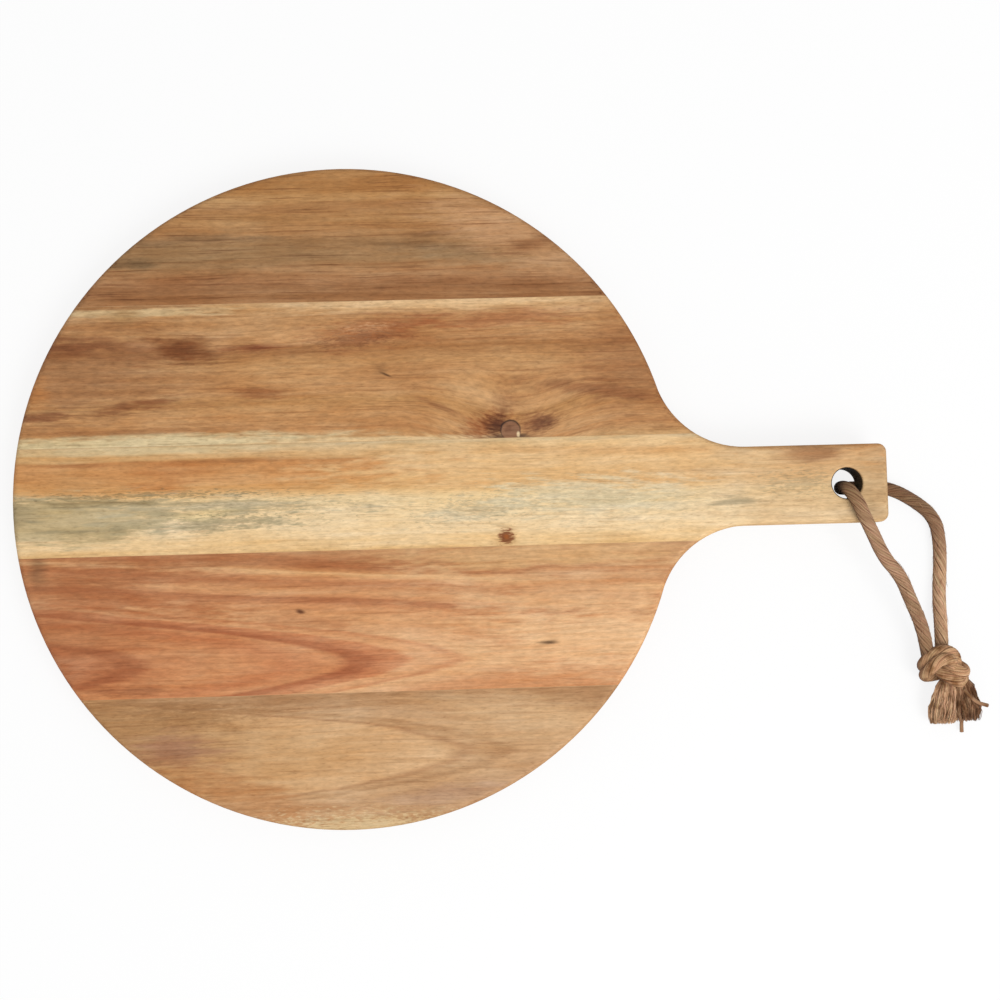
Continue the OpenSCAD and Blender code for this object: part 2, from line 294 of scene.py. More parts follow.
# Sapwood along both joints, with darker lines beside it
colour = stain_or_painted_shade(wood, colour, "#D0B488", 0.85, (-142, 85.6), (60, 3.4), heart=0.3)
colour = stain_or_painted_shade(wood, colour, "#D9B282", 0.95, (-5, 87), (86, 5), turn=0.6, heart=0.4)
colour = stain_or_painted_shade(wood, colour, "#D9AF7E", 0.85, (54, 82.4), (26, 3), ragged=1)
colour = stain_or_painted_shade(wood, colour, "#A2744A", 0.95, (-155, 88.8), (64, 2.6), heart=0.5)
colour = stain_or_painted_shade(wood, colour, "#B08A5C", 0.7, (-147, 84), (12, 4.6))
colour = stain_or_painted_shade(wood, colour, "#D2BC90", 1, (-140, 26.2), (132, 5.2), turn=0.4, heart=0.3)
colour = stain_or_painted_shade(wood, colour, "#D8B98B", 0.9, (-30, 24.6), (76, 2.8), heart=0.4)
colour = stain_or_painted_shade(wood, colour, "#98663C", 0.6, (-150, 31.4), (80, 2), turn=0.6, ragged=1)
# Dark smears and streaks, with lighter wood between them
colour = stain_or_painted_shade(wood, colour, "#905E38", 0.6, (-140, 68), (80, 8), ragged=1)
colour = stain_or_painted_shade(wood, colour, "#74401C", 0.95, (-121, 67.5), (25, 9.5), turn=-6, ragged=1, heart=0.1)
colour = stain_or_painted_shade(wood, colour, "#804D2C", 0.65, (-172, 71), (34, 5.5), ragged=1, heart=0)
colour = stain_or_painted_shade(wood, colour, "#B6845A", 0.4, (-138.5, 70), (10, 3.4), ragged=1)
colour = stain_or_painted_shade(wood, colour, "#C08E5E", 0.7, (-104, 70), (9, 5.5))
colour = stain_or_painted_shade(wood, colour, "#7C4224", 0.85, (-88, 68.3), (23, 2.4), turn=1)
colour = stain_or_painted_shade(wood, colour, "#8E5C35", 0.4, (-68, 66.5), (32, 3), turn=4)
colour = stain_or_painted_shade(wood, colour, "#CF9F6E", 0.8, (-72, 72), (22, 4.6))
colour = stain_or_painted_shade(wood, colour, "#7E4826", 0.8, (-141, 43.4), (24, 3.6), turn=8.5, ragged=1)
colour = stain_or_painted_shade(wood, colour, "#8C522C", 0.6, (-86, 47.5), (16, 5), ragged=1)
colour = stain_or_painted_shade(wood, colour, "#744023", 0.8, (-188, 38.8), (24, 3), ragged=1)
colour = stain_or_painted_shade(wood, colour, "#B9783F", 0.6, (-187, 50), (9, 13))
colour = stain_or_painted_shade(wood, colour, "#9C5E36", 0.65, (-34, 75), (40, 11), turn=7, ragged=1.2)
colour = stain_or_painted_shade(wood, colour, "#CC9A6E", 0.55, (-38, 75), (16, 3.6), turn=6, edge="speck", ragged=2)
colour = stain_or_painted_shade(wood, colour, "#744426", 0.5, (-42, 71), (19, 4.4), turn=5, edge="speck", ragged=2.2)
colour = stain_or_painted_shade(wood, colour, "#9C5C34", 0.6, (22, 79), (56, 6), turn=3, ragged=1.3)
colour = stain_or_painted_shade(wood, colour, "#8C5833", 0.7, (62, 46.6), (44, 5), turn=-7, ragged=1.2)
# Knot: the dark grain round it, its bark, its heart and a pale chip beside it
colour = stain_or_painted_shade(wood, colour, "#8A5632", 0.6, (-6, 40), (19, 2.4), turn=-25, ragged=1)
colour = stain_or_painted_shade(wood, colour, "#CFA06C", 0.35, (-1, 30), (14, 3), turn=-12, ragged=1)
colour = stain_or_painted_shade(wood, colour, "#8A5A36", 0.6, (23.5, 38), (8, 15), turn=-16, ragged=0.8, heart=0, edge="speck")
colour = stain_or_painted_shade(wood, colour, "#823F16", 0.85, (16, 30.5), (17, 9), turn=16, ragged=0.6, heart=0, edge="speck")
colour = stain_or_painted_shade(
    wood, colour, "#4A2410", 0.9, (20.5, 30), (8, 7.5), turn=30, ragged=0.6, heart=0.1, edge="speck")
colour = stain_or_painted_shade(wood, colour, "#7A4628", 0.8, (38.5, 31), (15, 8), turn=14, ragged=0.6, heart=0, edge="speck")
colour = stain_or_painted_shade(wood, colour, "#5E3522", 0.75, (42, 31), (10, 5), turn=20, ragged=0.6, heart=0, edge="speck")
colour = stain_or_painted_shade(wood, colour, "#3C2014", 0.85, (26, 25), (17, 1.8), turn=1, ragged=1)
colour = stain_or_painted_shade(wood, colour, "#24130D", 0.9, knot, (5.1, 5), ragged=0.16, heart=0.84)
colour = stain_or_painted_shade(wood, colour, "#8A6044", 0.95, (26.8, 27.7), (4.7, 4.7), ragged=0.16, heart=0.8)
colour = stain_or_painted_shade(wood, colour, "#6C432D", 0.7, (25.6, 28.6), (3, 2.6), ragged=0.8, edge="speck")
colour = stain_or_painted_shade(wood, colour, "#E3C79C", 0.95, (30.2, 26), (1, 2), ragged=0.3, heart=0.2)
# Short dark nick and its halo
colour = stain_or_painted_shade(wood, colour, "#8E6640", 0.4, (-31.5, 57), (5, 4), ragged=1)
colour = stain_or_painted_shade(wood, colour, "#4A2E16", 0.9, (-29, 54.6), (4.4, 0.9), turn=-24, ragged=0.4, heart=0)
finish_wood(wood, colour, "right_inner_stave", vessels=0.4)

# Right rim stave: plain brown heartwood with straight grain, darker towards the joint and greyish in the
# middle, where short dark streaks run along it.
wood = start_wood("straight_brown_acacia", 31)
growth = sway(wood, wood.y, wood.streak, 1.6)
colour = bands(wood, growth, [
    (88.5, "#A4744A"), (91, "#91623A"), (93, "#A07047"), (95, "#92633C"), (98, "#A07048"), (103, "#AA7B50"),
    (108, "#9E774E"), (116, "#9C744B"), (119, "#A9794B"), (126, "#B08150"), (131, "#A67648"),
    (136, "#B58653"), (141, "#AA7845"), (150, "#AE7B48")])
# Greyish middle and the short streaks in it
colour = stain_or_painted_shade(wood, colour, "#947049", 0.7, (-118, 111), (80, 13))
colour = stain_or_painted_shade(wood, colour, "#5C4A32", 0.5, (-143, 107.5), (17, 4), ragged=1)
colour = stain_or_painted_shade(wood, colour, "#735538", 0.5, (-112, 118.4), (46, 2.6))
colour = stain_or_painted_shade(wood, colour, "#6A4C30", 0.45, (-133, 116.6), (15, 2.4))
colour = stain_or_painted_shade(wood, colour, "#6A4A2C", 0.45, (-8, 113.2), (46, 2.4), turn=-4)
colour = stain_or_painted_shade(wood, colour, "#704A2A", 0.55, (-6, 119), (22, 2.2), turn=3)
colour = stain_or_painted_shade(wood, colour, "#9A7E5C", 0.5, (14, 108), (54, 5.4), turn=-5, ragged=1)
colour = stain_or_painted_shade(wood, colour, "#85582E", 0.35, (-75, 127), (46, 2), ragged=1)
# Lighter corner towards the neck, with a dark mark
colour = stain_or_painted_shade(wood, colour, "#C2946A", 0.8, (30, 118), (60, 18), turn=-18)
colour = stain_or_painted_shade(wood, colour, "#85552F", 0.6, (40, 114), (16, 5), turn=10, ragged=1)
finish_wood(wood, colour, "right_rim_stave", fibre=0.8, vessels=0.7)

# Left inner stave: reddish heartwood sawn close to the middle of a tapering trunk. The saw ran out of one
# yearly ring after another, so the rings draw long arches that point to the handle. Towards the middle of
# the board the rings were cut square and run as lines that slope a little.
wood = start_wood("reddish_acacia_heartwood", 47)
ring = sway(wood, arches(wood, -74.4, 32, 0.087), wood.streak, 0.35)
colour = bands(wood, ring, [
    (-4, "#BC7A50"), (0, "#B8744A"), (1, "#C2825A"), (1.7, "#AE6A42"), (2.2, "#C2825A"), (3.4, "#BE7C52"),
    (3.9, "#A6643E"), (4.7, "#AA6841"), (5.2, "#C28052"), (8, "#C88858"), (10.4, "#C07C50"),
    (12.2, "#C98A5C"), (12.8, "#A8653F"), (13.6, "#AE6C46"), (14.1, "#C07E54"), (15, "#C48358"),
    (15.4, "#D39B6C"), (16.4, "#D09768"), (17, "#C78A5E"), (17.6, "#D9A777"), (20, "#DBAC7D"),
    (22, "#D39D6E"), (26, "#D6A272")])
slope_share = 0.06
across = add(wood.tree, "ShaderNodeMath", {0: wood.x, 1: slope_share, 2: wood.y}, operation="MULTIPLY_ADD")
across = sway(wood, across, wood.streak, 0.5)
lines = bands(wood, across, [
    (-66, "#C98E60"), (-58, "#D19B6B"), (-53, "#C88C5E"), (-51.4, "#B4774E"), (-49.8, "#B0734A"),
    (-49, "#C68A5C"), (-47, "#CE9666"), (-45, "#C08456"), (-42.5, "#B87B50"), (-40.6, "#C88D5E"),
    (-39.2, "#D6A371"), (-38.4, "#DDAE7C"), (-37.4, "#C48C5C"), (-35.6, "#B0764C"), (-32, "#B0754B"),
    (-29, "#BA865A"), (-22, "#C09166")])
outside = add(wood.tree, "ShaderNodeMapRange", {"Value": ring, "From Min": 17.5, "From Max": 21})
colour = add(wood.tree, "ShaderNodeMix", {"Factor": outside, "A": colour, "B": lines}, data_type="RGBA")
# Darker end away from the handle and paler end towards it
colour = stain_or_painted_shade(wood, colour, "#9A5A34", 0.5, (-184, -52), (100, 52))
colour = stain_or_painted_shade(wood, colour, "#E3B788", 0.85, (66, -68), (88, 22), heart=0.2)
# Red-brown streaks, and paler wood with thin lines towards the handle
colour = stain_or_painted_shade(wood, colour, "#B27449", 0.6, (-74, -55.5), (54, 6.5), turn=-8, ragged=1)
colour = stain_or_painted_shade(wood, colour, "#B06A3C", 0.55, (-128, -50), (44, 5), turn=-6, ragged=1)
colour = stain_or_painted_shade(wood, colour, "#AC7047", 0.75, (-118, -35), (38, 4), turn=-3, ragged=1)
colour = stain_or_painted_shade(wood, colour, "#A0613A", 0.6, (-145, -32), (64, 8), ragged=1)
colour = stain_or_painted_shade(wood, colour, "#A8643A", 0.6, (-150, -45.5), (62, 4.5), turn=-3, ragged=1)
colour = stain_or_painted_shade(wood, colour, "#DDB080", 0.6, (60, -46), (90, 26), ragged=1)
colour = stain_or_painted_shade(wood, colour, "#D2A674", 0.85, (34, -29), (90, 8.5), heart=0.3)
colour = stain_or_painted_shade(wood, colour, "#BE8050", 0.7, (64, -42), (46, 3.4), ragged=1)
colour = stain_or_painted_shade(wood, colour, "#BC7E50", 0.6, (60, -35.6), (54, 1.6), ragged=1)
# Dark corner at the rim, and two nicks
colour = stain_or_painted_shade(wood, colour, "#3F301E", 0.5, (-187, -30), (6, 12), ragged=0.4, heart=0)
colour = stain_or_painted_shade(wood, colour, "#55280F", 0.9, (-70, -51.5), (3, 1.5), turn=-15, ragged=0.4)
colour = stain_or_painted_shade(wood, colour, "#4F351C", 0.85, (42, -68.6), (6, 1.3), ragged=0.8, heart=0)
# Lines along the outer joint
colour = stain_or_painted_shade(wood, colour, "#C88856", 0.45, (44, -84), (50, 1.8), turn=6, ragged=1)
colour = stain_or_painted_shade(wood, colour, "#955733", 0.7, (-145, -85), (30, 3), ragged=1)
finish_wood(wood, colour, "left_inner_stave", fibre=0.8, pores=0.2)

# Left rim stave: tan wood, sawn like its neighbour but with fainter rings, and greyish brown along the
# joint.
wood = start_wood("tan_acacia", 61)
ring = sway(wood, arches(wood, -116.5, 28, 0.11), wood.streak, 0.6)
colour = bands(wood, ring, [
    (-8, "#B08254"), (0, "#BE9060"), (6, "#C69A6A"), (12.4, "#CDA274"), (13.2, "#B2865D"), (14, "#C0966B"),
    (15.2, "#B0865D"), (16, "#C49A6F"), (19, "#BA9067"), (24, "#C2986D"), (30, "#B0855C"), (40, "#AD8259")])
# Browner wood along the joint and at the far end, with a spot in it
colour = stain_or_painted_shade(wood, colour, "#A67A4E", 0.8, (-150, -100), (80, 28))
colour = stain_or_painted_shade(wood, colour, "#A2764E", 0.8, (-84, -90), (106, 8))
colour = stain_or_painted_shade(wood, colour, "#9C6E52", 0.8, (-128, -112), (30, 11))
colour = stain_or_painted_shade(wood, colour, "#B07848", 0.75, (-95, -135), (66, 14), turn=-18)
colour = stain_or_painted_shade(wood, colour, "#966C43", 0.4, (-118, -96), (40, 8), edge="speck", ragged=1.8)
# Greyer and paler wood at the rim and towards the neck
colour = stain_or_painted_shade(wood, colour, "#B28E72", 0.7, (-4, -135), (46, 7), turn=7)
colour = stain_or_painted_shade(wood, colour, "#D6BC90", 0.8, (-45, -149), (66, 9), edge="speck", ragged=1.4)
colour = stain_or_painted_shade(wood, colour, "#D2AB7E", 0.6, (34, -104), (60, 18), turn=-8)
finish_wood(wood, colour, "left_rim_stave", fibre=0.7)

# Glue lines: water-resistant wood glue that was squeezed out of each joint when the panel was clamped, and
# sanded flush when it had set. What is left in the joint is an amber film as thin as paper.
set_glue = bpy.data.materials.new("set_amber_wood_glue")
set_glue.use_nodes = True
tree = set_glue.node_tree
tree.nodes.clear()
at_rest = add(tree, "ShaderNodeTexCoord", give="Object")
glue_patch_m = 0.012
thin_and_thick = add(tree, "ShaderNodeTexNoise", {"Vector": at_rest, "Scale": 1 / glue_patch_m, "Detail": 2})
amber = add(tree, "ShaderNodeValToRGB", {"Fac": thin_and_thick}, stops=[(0.3, "#A2764A"), (0.7, "#C39A6B")])
surface = add(tree, "ShaderNodeBsdfPrincipled", {"Base Color": amber, "Roughness": 0.4, "IOR": 1.47})
add(tree, "ShaderNodeOutputMaterial", {"Surface": surface})
for joint in ("left_rim", "left_inner", "right_inner", "right_rim"):
    frame["nodes"][joint + "_glue_line"].material_slots[0].material = set_glue

# Rope loop: fourteen soft jute yarns twisted together into 6 mm cord. It comes out of the knot, lies over
# the handle's edge, goes down through the hole and runs back to the knot under the handle's end. Each yarn
# lies slack and tight by turns, and its fibres don't line up with those of the next.
rope_d = 0.006
rope_lay = 0.032
yarns_round = 14
yarn_bulge = 0.0005
groove_shares = (1, 0.45, 0.8, 0.5)
slack_l = 0.017
slack_mean, slack_reach = 0.7, 0.3
fibre_shift = 2.3
rope_step = 0.0005
rope_r = rope_d / 2 + yarn_bulge / 5
rope_route = [
    (0.0375, -0.081, 0.0105), (0.0362, -0.0755, 0.012), (0.0349, -0.0705, 0.0134), (0.0328, -0.0645, 0.0152),
    (0.0299, -0.0582, 0.017), (0.0269, -0.052, 0.0187), (0.0241, -0.046, 0.0202), (0.0206, -0.0406, 0.0215),
    (0.0166, -0.036, 0.0226), (0.0132, -0.0306, 0.0235), (0.0105, -0.0249, 0.0242), (0.008, -0.0194, 0.0245),
    (0.0055, -0.014, 0.0248), (0.0039, -0.0104, 0.0254), (0.0023, -0.007, 0.0247), (0.0009, -0.0041, 0.0226),
    (0, -0.0024, 0.0194), (-0.0005, -0.0017, 0.0158), (-0.0006, -0.0016, 0.0124), (0, -0.0016, 0.009),
    (0.002, -0.0016, 0.0059), (0.0051, -0.0015, 0.0038), (0.0089, -0.0014, 0.003), (0.0136, -0.0012, 0.003),
    (0.0188, -0.0013, 0.003), (0.024, -0.0024, 0.003), (0.029, -0.0043, 0.003), (0.0341, -0.0072, 0.003),
    (0.039, -0.0106, 0.003), (0.0432, -0.0146, 0.003), (0.0461, -0.02, 0.003), (0.0472, -0.0274, 0.003),
    (0.0473, -0.0355, 0.003), (0.0468, -0.0435, 0.003), (0.0462, -0.0515, 0.0033), (0.0458, -0.059, 0.0044),
    (0.0455, -0.0665, 0.0058), (0.045, -0.074, 0.0074), (0.0445, -0.081, 0.0085)]
hole_foot = Vector((swing["pos_m"][0], 0, 0))


def smooth_line(points, spacing, floor=0):
    """Points about one spacing apart on a smooth curve through the given points, never below the floor."""
    line = []
    for i in range(len(points) - 1):
        before, here = points[max(i - 1, 0)], points[i]
        following, after = points[i + 1], points[min(i + 2, len(points) - 1)]
        steps = max(1, round((following - here).length / spacing))
        for t in (step / steps for step in range(steps)):
            bend = 2 * before - 5 * here + 4 * following - after
            twist = 3 * (here - following) + after - before
            line.append(here + t / 2 * (following - before + t * (bend + t * twist)))
    line.append(points[-1].copy())
    for point in line:
        point.z = max(point.z, floor)
    return line


def headings(line):
    """For each point of a line, how far along it is and two ways square to the line there."""
    # Any way to start from will do that isn't along the line
    across = Vector((0.3, 0.2, 1))
    run = 0
    for i, point in enumerate(line):
        heading = (line[min(i + 1, len(line) - 1)] - line[max(i - 1, 0)]).normalized()
        across = (across - heading * across.dot(heading)).normalized()
        run += (point - line[max(i - 1, 0)]).length
        yield run, across, heading.cross(across)


def close_tube(rings, lays):
    """A closed tube through rings of points: its points, its faces and each point's place on the lay."""
    sides = len(rings[0])
    faces = [tuple(reversed(range(sides)))]
    for i in range(len(rings) - 1):
        for j in range(sides):
            k = (j + 1) % sides
            faces.append((i * sides + j, i * sides + k, (i + 1) * sides + k, (i + 1) * sides + j))
    faces.append(tuple(range((len(rings) - 1) * sides, len(rings) * sides)))
    return [p for ring in rings for p in ring], faces, [lay for ring in lays for lay in ring]


def make_piece(name, tubes):
    """One smooth mesh object from several tubes, with its lay kept as an attribute."""
    points, faces, lays = [], [], []
    for tube_points, tube_faces, tube_lays in tubes:
        faces += [tuple(i + len(points) for i in face) for face in tube_faces]
        points += tube_points
        lays += tube_lays
    mesh = bpy.data.meshes.new(name)
    mesh.from_pydata(points, [], faces)
    mesh.attributes.new("lay", "FLOAT_VECTOR", "POINT").data.foreach_set(
        "vector", [value for lay in lays for value in lay])
    mesh.polygons.foreach_set("use_smooth", [True] * len(mesh.polygons))
    piece = bpy.data.objects.new(name, mesh)
    bpy.context.collection.objects.link(piece)
    return piece


def twisted_yarns(line, radius, begin=0, sides=98):
    """A cord of yarns along a line, all turned the same way round it. Its run is counted from begin."""
    yarn_pitch = 2 * math.pi * radius / yarns_round
    rings, lays = [], []
    for middle, (run, across, beside) in zip(line, headings(line)):
        ring, lay = [], []
        for side in range(sides):
            angle = 2 * math.pi * side / sides
            turn = (angle / (2 * math.pi) + run / rope_lay) * yarns_round
            yarn = math.floor(turn + 0.5)
            beyond = math.floor(turn) % yarns_round
            slack = slack_mean + slack_reach * math.sin(2 * math.pi * run / slack_l + 2 * beyond)
            deepest = groove_shares[beyond % len(groove_shares)] * slack
            groove = deepest * (1 - math.cos(math.pi * (turn - yarn)))
            out = radius - yarn_bulge * groove
            ring.append(middle + out * (math.cos(angle) * across + math.sin(angle) * beside))
            round_cord = yarn_pitch * (turn - yarn + fibre_shift * (yarn % yarns_round))
            # The third number is 1 on a yarn's crown and less in a groove; the material paints shade into the
            # grooves from it
            lay.append((begin + run, round_cord, 1 - groove))
        rings.append(ring)
        lays.append(lay)
    return close_tube(rings, lays)


rope_points = [hole_foot + Vector(p) for p in rope_route]
rope_line = smooth_line(rope_points, rope_step, rope_r)
rope_loop = make_piece("jute_rope_loop", [twisted_yarns(rope_line, rope_r)])

# Jute is a coarse, dull bast fibre. Fibres of many browns lie side by side in each yarn, some of them redder
# and some greener, and the fibres keep a faint silky sheen. The grooves between yarns and the rope's sides are
# painted darker as painted shade. Along its run the rope has painted shade in places, and the knot is grimy.
fibre_l, fibre_w = 0.006, 0.00025
yarn_l, yarn_w = 0.02, 0.0011
patch_l = 0.012
grime_l = 0.005
jute = bpy.data.materials.new("twisted_jute")
jute.use_nodes = True
tree = jute.node_tree
tree.nodes.clear()
lay = add(tree, "ShaderNodeAttribute", give="Vector", attribute_name="lay")
on_fibre = add(tree, "ShaderNodeMapping", {"Vector": lay, "Scale": (1 / fibre_l, 1 / fibre_w, 0)})
fibre = add(tree, "ShaderNodeTexNoise", {"Vector": on_fibre, "Scale": 1, "Detail": 2, "Roughness": 0.6})
on_yarn = add(tree, "ShaderNodeMapping", {"Vector": lay, "Scale": (1 / yarn_l, 1 / yarn_w, 0)})
yarn = add(tree, "ShaderNodeTexNoise", {"Vector": on_yarn, "Scale": 1, "Detail": 1})
mixed = add(tree, "ShaderNodeMix", {"Factor": 0.4, "A": fibre, "B": yarn})
colour = add(tree, "ShaderNodeValToRGB", {"Fac": mixed}, stops=[
    (0.32, "#8C6E58"), (0.45, "#C6A286"), (0.55, "#E2C4A6"), (0.68, "#FBE8D0")])
on_patch = add(tree, "ShaderNodeMapping", {"Vector": lay, "Scale": (1 / patch_l, 1 / yarn_w, 0)})
patch = add(tree, "ShaderNodeTexNoise", {"Vector": on_patch, "W": 7, "Scale": 1, "Detail": 1},
            noise_dimensions="4D")
cast = add(tree, "ShaderNodeValToRGB", {"Fac": patch}, stops=[(0.38, "#FFE8DC"), (0.62, "#F4EED8")])
colour = add(tree, "ShaderNodeMix", {"Factor": 1, "A": colour, "B": cast},
             data_type="RGBA", blend_type="MULTIPLY")
crown = add(tree, "ShaderNodeSeparateXYZ", {"Vector": lay}).node.outputs["Z"]
# Painted shade in the grooves between yarns and in loose yarns of low tone
shade = add(tree, "ShaderNodeMapRange", {
    "Value": crown, "From Min": 0.2, "From Max": 0.9, "To Min": 1, "To Max": 0})
colour = add(tree, "ShaderNodeMix", {"Factor": shade, "A": colour, "B": "#8A6E56"},
             data_type="RGBA", blend_type="MULTIPLY")
# Painted shade and tints by the run in metres: legs of the loop, hole, knot, loose yarn. The shares are of the
# whole
# run. Painted shade: the loop's ends where they go into the knot, the front leg, and the stretch in the hole and
# under the handle, which runs on a little past the handle's end.
tinted_run_end = 0.37
knot_share = (0.6, 0.62)
twisted_share = (0.905, 0.895)
run_tints_and_shade = [
    (0, "#7E766E"), (0.007, "#C4BEB8"), (0.03, "#D2CECD"), (0.07, "#DFDADA"), (0.085, "#C1BBAF"),
    (0.097, "#A39A92"), (0.145, "#A39A92"), (0.163, "#CAC4C2"), (0.18, "#FBFBFB"), (0.212, "#FFFFFF"),
    (0.22, "#8A8078"), (0.23, "#F2ECE2"), (0.33, "#F2ECE2"), (0.335, "#FFFFFF")]
along = add(tree, "ShaderNodeMath", {0: crown.node.outputs["X"], 1: tinted_run_end}, operation="DIVIDE")
run_tint_and_shade = add(tree, "ShaderNodeValToRGB", {"Fac": along},
           stops=[(run / tinted_run_end, tint) for run, tint in run_tints_and_shade])
colour = add(tree, "ShaderNodeMix", {"Factor": 1, "A": colour, "B": run_tint_and_shade},
             data_type="RGBA", blend_type="MULTIPLY")
facing = add(tree, "ShaderNodeTexCoord", give="Normal")
grime = add(tree, "ShaderNodeTexNoise", {
    "Vector": facing.node.outputs["Object"], "Scale": 1 / grime_l, "Detail": 3})
grime = add(tree, "ShaderNodeMapRange", {"Value": grime, "From Min": 0.46, "From Max": 0.66})
knotted = add(tree, "ShaderNodeMapRange", {
    "Value": along, "From Min": knot_share[0], "From Max": knot_share[1]})
grime = add(tree, "ShaderNodeMath", {0: grime, 1: knotted}, operation="MULTIPLY")
colour = add(tree, "ShaderNodeMix", {"Factor": grime, "A": colour, "B": "#B4A28A"},
             data_type="RGBA", blend_type="MULTIPLY")
# Painted shade on the sides of the twisted rope and the knot that face sideways and downwards, but not on the
# loose yarn
upright = add(tree, "ShaderNodeSeparateXYZ", {"Vector": facing}).node.outputs["Z"]
low = add(tree, "ShaderNodeMapRange", {"Value": upright, "From Min": 0.5, "From Max": -0.1})
twisted = add(tree, "ShaderNodeMapRange", {
    "Value": along, "From Min": twisted_share[0], "From Max": twisted_share[1]})
low = add(tree, "ShaderNodeMath", {0: low, 1: twisted}, operation="MULTIPLY")
colour = add(tree, "ShaderNodeMix", {"Factor": low, "A": colour, "B": "#8C7664"},
             data_type="RGBA", blend_type="MULTIPLY")
bump = add(tree, "ShaderNodeBump", {"Height": fibre, "Strength": 0.8, "Distance": 0.0003})
surface = add(tree, "ShaderNodeBsdfPrincipled", {
    "Base Color": colour, "Roughness": 0.85, "Specular IOR Level": 0.2, "Sheen Weight": 0.05, "Normal": bump})
add(tree, "ShaderNodeOutputMaterial", {"Surface": surface})

# Rope knot: an overhand knot tied in both ends of the rope together and pulled tight, which makes the loop.
# The pair comes in under an arch of itself, crosses the front, goes round behind and over, and out.
knot_rope_r = 0.0029
knot_run = 0.235
knot_step = 0.0006
knot_turns = [
    ((0.041, -0.081, 0.0095), (0.0035, 0, -0.001)),
    ((0.0422, -0.0836, 0.0094), (0.0022, 0.0009, 0)),
    ((0.0452, -0.0864, 0.0106), (0.0015, 0.0017, 0)),
    ((0.0494, -0.0892, 0.0114), (0.0012, 0.002, 0)),
    ((0.053, -0.0904, 0.0098), (0.0007, 0.0021, 0.0003)),
    ((0.0546, -0.089, 0.0066), (0, 0.0021, 0.0007)),
    ((0.0516, -0.0872, 0.0036), (0.0002, 0.0022, 0)),
    ((0.0464, -0.0868, 0.0029), (0, 0.0022, 0)),
    ((0.0404, -0.0876, 0.0034), (0, 0.0022, -0.0002)),
    ((0.0366, -0.0872, 0.0066), (0, 0.002, -0.001)),
    ((0.0368, -0.0842, 0.0122), (-0.0006, 0.0016, -0.0014)),
    ((0.0398, -0.0808, 0.0148), (-0.0006, 0.0016, -0.0014)),
    ((0.0444, -0.0798, 0.0146), (0, 0.0018, -0.0013)),
    ((0.0484, -0.0818, 0.0118), (0.0008, 0.0017, -0.0012)),
    ((0.05, -0.0854, 0.0084), (0.0016, 0.0006, -0.0014)),
    ((0.05, -0.0905, 0.0074), (0.0026, 0, -0.0005)),
    ((0.0495, -0.095, 0.0074), (0.0032, 0, 0))]
knot_ropes = []
for side in (-1, 1):
    turns = [hole_foot + Vector(middle) + side * Vector(beside) for middle, beside in knot_turns]
    knot_ropes.append(twisted_yarns(smooth_line(turns, knot_step, knot_rope_r), knot_rope_r, knot_run))
rope_knot = make_piece("jute_rope_knot", knot_ropes)

# Tassel: below the knot the two ends are left unwhipped, so their strands have opened out into loose yarn.
# One end hangs as a smooth brush, the other is frayed wider and painted darker as painted shade, with two stray
# yarns.
tassel_seed = 5
tassel_run = 0.34
yarn_step = 0.003
tip_taper = 4
loose = random.Random(tassel_seed)


def loose_yarn(points, diameter, tone, blunt, sides=5, spacing=yarn_step, begin=tassel_run):
    """One loose yarn along a few points, a little thinner at its tip. Its run is counted from begin."""
    line = smooth_line(points, spacing, diameter / 2)
    rings, lays = [], []
    for i, (middle, (run, across, beside)) in enumerate(zip(line, headings(line))):
        radius = diameter / 2 * (1 - (1 - blunt) * (i / (len(line) - 1)) ** tip_taper)
        angles = [2 * math.pi * side / sides for side in range(sides)]
        rings.append([middle + radius * (math.cos(a) * across + math.sin(a) * beside) for a in angles])
        # The third number is the yarn's tone; the material paints shade into yarns of low tone
        lays.append([(begin + run, diameter / 2 * a + tone, tone) for a in angles])
    return close_tube(rings, lays)


# Each clump: its neck, the middle of its tips, the half width and height there, and its range of tone, a low tone
# being painted shade
clumps = [
    (Vector((0.047, -0.0905, 0.0078)), Vector((0.0446, -0.1105, 0.005)), 0.0062, 0.0042, (0.9, 1.1)),
    (Vector((0.0526, -0.0905, 0.0078)), Vector((0.0562, -0.1095, 0.0046)), 0.0062, 0.0038, (0.2, 0.55))]
# Each kind of yarn: its diameter, how many a clump has, how blunt it ends, its sides and how far it spreads
yarn_kinds = [
    (0.0026, 26, 0.3, 5, 0.72), (0.0009, 90, 0.6, 5, 0.95),
    (0.0005, 360, 0.5, 4, 1), (0.0003, 520, 0.5, 3, 1)]
neck_half_w, neck_half_h = 0.0024, 0.0022
belly_w, belly_h = 0.0018, 0.0012
belly_shares = (0.25, 0.5, 0.75)
tip_uneven = 0.0018
yarn_wave = 0.0008
thick_shares = (0.8, 1.2)
tassel_yarns = []
for neck, tip, half_w, half_h, tones in clumps:
    for diameter, count, blunt, sides, spread in yarn_kinds:
        for _ in range(count):
            angle = loose.uniform(0, 2 * math.pi)
            out = spread * math.sqrt(loose.random())
            side, rise = out * math.cos(angle), out * math.sin(angle)
            start = hole_foot + neck + Vector((neck_half_w * side, 0, neck_half_h * rise))
            longer = loose.uniform(-tip_uneven, tip_uneven)
            end = hole_foot + tip + Vector((half_w * side, longer, half_h * rise))
            belly = Vector((belly_w * side, 0, belly_h))
            points = [start]
            for share in belly_shares:
                wave = Vector((loose.uniform(-1, 1), loose.uniform(-1, 1), loose.uniform(-1, 1))) * yarn_wave
                points.append(start.lerp(end, share) + belly + wave)
            tone = loose.uniform(*tones)
            thick = diameter * loose.uniform(*thick_shares)
            tassel_yarns.append(loose_yarn(points + [end], thick, tone, blunt, sides))
stray_d = 0.0017
stray_tone = 0.5
stray_blunt = 1.1
stray_sides = 12
stray_step = 0.001
